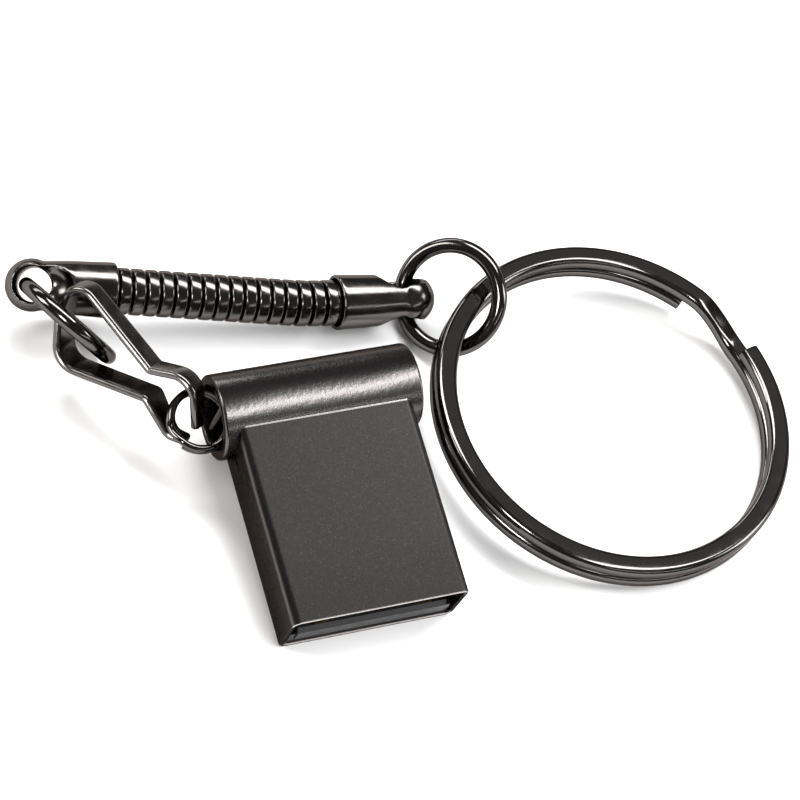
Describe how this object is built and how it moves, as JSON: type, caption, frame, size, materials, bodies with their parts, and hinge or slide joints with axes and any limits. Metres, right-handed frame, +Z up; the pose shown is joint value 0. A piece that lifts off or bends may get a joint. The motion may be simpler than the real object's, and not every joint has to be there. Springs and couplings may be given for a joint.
{
  "type": "usb flash drive",
  "caption": "Mini metal USB flash drive with a barrel end, on a lanyard: small split ring, spring clip, jump ring, snake chain with end caps, jump ring and split key ring.",
  "frame": {"origin": "middle of the bounding box, on the plane the object lies on", "axes": "+X along the lanyard from the chain's first end cap towards the key ring and across the width of the drive, +Y from the drive's open plug end towards its barrel, +Z up, away from the plane it lies on"},
  "size_m": [0.0508, 0.03, 0.008],
  "materials": {
    "satin_grey": "satin, fine metallic sparkle",
    "black_nickel": "polished black nickel",
    "gold": "gold plated",
    "black_plastic": "matt"
  },
  "bodies": {
    "drive": {"plug_shell": "satin_grey", "barrel_head": "satin_grey", "chip_tray": "black_plastic", "chip_module": "black_plastic", "contact_power": "gold", "contact_data_minus": "gold", "contact_data_plus": "gold", "contact_ground": "gold"},
    "drive_ring": {"drive_split_ring": "black_nickel"},
    "clip": {"spring_clip": "black_nickel"},
    "left_jump": {"left_jump_ring": "black_nickel"},
    "left_cap": {"left_end_cap": "black_nickel"},
    "link_01": {"chain_link_01": "black_nickel"},
    "link_02": {"chain_link_02": "black_nickel"},
    "link_03": {"chain_link_03": "black_nickel"},
    "link_04": {"chain_link_04": "black_nickel"},
    "link_05": {"chain_link_05": "black_nickel"},
    "link_06": {"chain_link_06": "black_nickel"},
    "link_07": {"chain_link_07": "black_nickel"},
    "link_08": {"chain_link_08": "black_nickel"},
    "link_09": {"chain_link_09": "black_nickel"},
    "link_10": {"chain_link_10": "black_nickel"},
    "link_11": {"chain_link_11": "black_nickel"},
    "link_12": {"chain_link_12": "black_nickel"},
    "link_13": {"chain_link_13": "black_nickel"},
    "link_14": {"chain_link_14": "black_nickel"},
    "link_15": {"chain_link_15": "black_nickel"},
    "link_16": {"chain_link_16": "black_nickel"},
    "right_cap": {"right_end_cap": "black_nickel"},
    "key_jump": {"key_jump_ring": "black_nickel"},
    "key_ring": {"split_key_ring": "black_nickel"}
  },
  "joints": [
    {"name": "drive_ring_roll", "type": "hinge", "parent": "drive", "child": "drive_ring", "pos_m": [-0.01584, 0.00099, 0.00459], "axis": [1, 0, 0], "range_deg": [-8, 20]},
    {"name": "clip_swing", "type": "hinge", "parent": "drive_ring", "child": "clip", "pos_m": [-0.01709, 0.00237, 0.00506], "axis": [-0.7472, -0.501, 0.4368], "range_deg": [-6, 12]},
    {"name": "left_jump_swing", "type": "hinge", "parent": "clip", "child": "left_jump", "pos_m": [-0.0226, 0.01024, 0.00468], "axis": [0.3682, 0.2352, 0.8995], "range_deg": [-1.5, 12]},
    {"name": "chain_swing", "type": "hinge", "parent": "left_jump", "child": "left_cap", "pos_m": [-0.02341, 0.01322, 0.004], "axis": [-0.3562, -0.4226, 0.8334], "range_deg": [-1.5, 12]},
    {"name": "chain_bend_01", "type": "hinge", "parent": "left_cap", "child": "link_01", "pos_m": [-0.01821, 0.01214, 0.00359], "axis": [0.0992, 0.1047, 0.9895], "range_deg": [0, 3]},
    {"name": "chain_bend_02", "type": "hinge", "parent": "link_01", "child": "link_02", "pos_m": [-0.01729, 0.01195, 0.00352], "axis": [0.0992, 0.1047, 0.9895], "range_deg": [0, 3]},
    {"name": "chain_bend_03", "type": "hinge", "parent": "link_02", "child": "link_03", "pos_m": [-0.01638, 0.01176, 0.00345], "axis": [0.0992, 0.1047, 0.9895], "range_deg": [0, 3]},
    {"name": "chain_bend_04", "type": "hinge", "parent": "link_03", "child": "link_04", "pos_m": [-0.01546, 0.01157, 0.00338], "axis": [0.0992, 0.1047, 0.9895], "range_deg": [0, 3]},
    {"name": "chain_bend_05", "type": "hinge", "parent": "link_04", "child": "link_05", "pos_m": [-0.01454, 0.01138, 0.00331], "axis": [0.0992, 0.1047, 0.9895], "range_deg": [0, 3]},
    {"name": "chain_bend_06", "type": "hinge", "parent": "link_05", "child": "link_06", "pos_m": [-0.01363, 0.01119, 0.00323], "axis": [0.0992, 0.1047, 0.9895], "range_deg": [0, 3]},
    {"name": "chain_bend_07", "type": "hinge", "parent": "link_06", "child": "link_07", "pos_m": [-0.01271, 0.01099, 0.00316], "axis": [0.0992, 0.1047, 0.9895], "range_deg": [0, 3]},
    {"name": "chain_bend_08", "type": "hinge", "parent": "link_07", "child": "link_08", "pos_m": [-0.01179, 0.0108, 0.00309], "axis": [0.0992, 0.1047, 0.9895], "range_deg": [0, 3]},
    {"name": "chain_bend_09", "type": "hinge", "parent": "link_08", "child": "link_09", "pos_m": [-0.01088, 0.01061, 0.00302], "axis": [0.0992, 0.1047, 0.9895], "range_deg": [0, 3]},
    {"name": "chain_bend_10", "type": "hinge", "parent": "link_09", "child": "link_10", "pos_m": [-0.00996, 0.01042, 0.00295], "axis": [0.0992, 0.1047, 0.9895], "range_deg": [0, 3]},
    {"name": "chain_bend_11", "type": "hinge", "parent": "link_10", "child": "link_11", "pos_m": [-0.00904, 0.01023, 0.00288], "axis": [0.0992, 0.1047, 0.9895], "range_deg": [0, 3]},
    {"name": "chain_bend_12", "type": "hinge", "parent": "link_11", "child": "link_12", "pos_m": [-0.00813, 0.01004, 0.0028], "axis": [0.0992, 0.1047, 0.9895], "range_deg": [0, 3]},
    {"name": "chain_bend_13", "type": "hinge", "parent": "link_12", "child": "link_13", "pos_m": [-0.00721, 0.00985, 0.00273], "axis": [0.0992, 0.1047, 0.9895], "range_deg": [0, 3]},
    {"name": "chain_bend_14", "type": "hinge", "parent": "link_13", "child": "link_14", "pos_m": [-0.00629, 0.00966, 0.00266], "axis": [0.0992, 0.1047, 0.9895], "range_deg": [0, 3]},
    {"name": "chain_bend_15", "type": "hinge", "parent": "link_14", "child": "link_15", "pos_m": [-0.00537, 0.00951, 0.00258], "axis": [0.0992, 0.1047, 0.9895], "range_deg": [0, 3]},
    {"name": "chain_bend_16", "type": "hinge", "parent": "link_15", "child": "link_16", "pos_m": [-0.00444, 0.00941, 0.0025], "axis": [0.0992, 0.1047, 0.9895], "range_deg": [0, 3]},
    {"name": "chain_bend_17", "type": "hinge", "parent": "link_16", "child": "right_cap", "pos_m": [-0.00351, 0.00936, 0.00241], "axis": [0.0992, 0.1047, 0.9895], "range_deg": [0, 3]},
    {"name": "key_jump_swing", "type": "hinge", "parent": "right_cap", "child": "key_jump", "pos_m": [0.00179, 0.00903, 0.00192], "axis": [0.1589, 0.7379, 0.6559], "range_deg": [-4, 14]},
    {"name": "key_ring_swing", "type": "hinge", "parent": "key_jump", "child": "key_ring", "pos_m": [0.00475, 0.00458, 0.00209], "axis": [0.7501, -0.119, 0.6506], "range_deg": [-4, 10]}
  ],
  "couplings": [
    {"joint": "chain_bend_02", "follows": "chain_bend_01", "ratio": 1},
    {"joint": "chain_bend_03", "follows": "chain_bend_01", "ratio": 1},
    {"joint": "chain_bend_04", "follows": "chain_bend_01", "ratio": 1},
    {"joint": "chain_bend_05", "follows": "chain_bend_01", "ratio": 1},
    {"joint": "chain_bend_06", "follows": "chain_bend_01", "ratio": 1},
    {"joint": "chain_bend_07", "follows": "chain_bend_01", "ratio": 1},
    {"joint": "chain_bend_08", "follows": "chain_bend_01", "ratio": 1},
    {"joint": "chain_bend_09", "follows": "chain_bend_01", "ratio": 1},
    {"joint": "chain_bend_10", "follows": "chain_bend_01", "ratio": 1},
    {"joint": "chain_bend_11", "follows": "chain_bend_01", "ratio": 1},
    {"joint": "chain_bend_12", "follows": "chain_bend_01", "ratio": 1},
    {"joint": "chain_bend_13", "follows": "chain_bend_01", "ratio": 1},
    {"joint": "chain_bend_14", "follows": "chain_bend_01", "ratio": 1},
    {"joint": "chain_bend_15", "follows": "chain_bend_01", "ratio": 1},
    {"joint": "chain_bend_16", "follows": "chain_bend_01", "ratio": 1},
    {"joint": "chain_bend_17", "follows": "chain_bend_01", "ratio": 1}
  ]
}
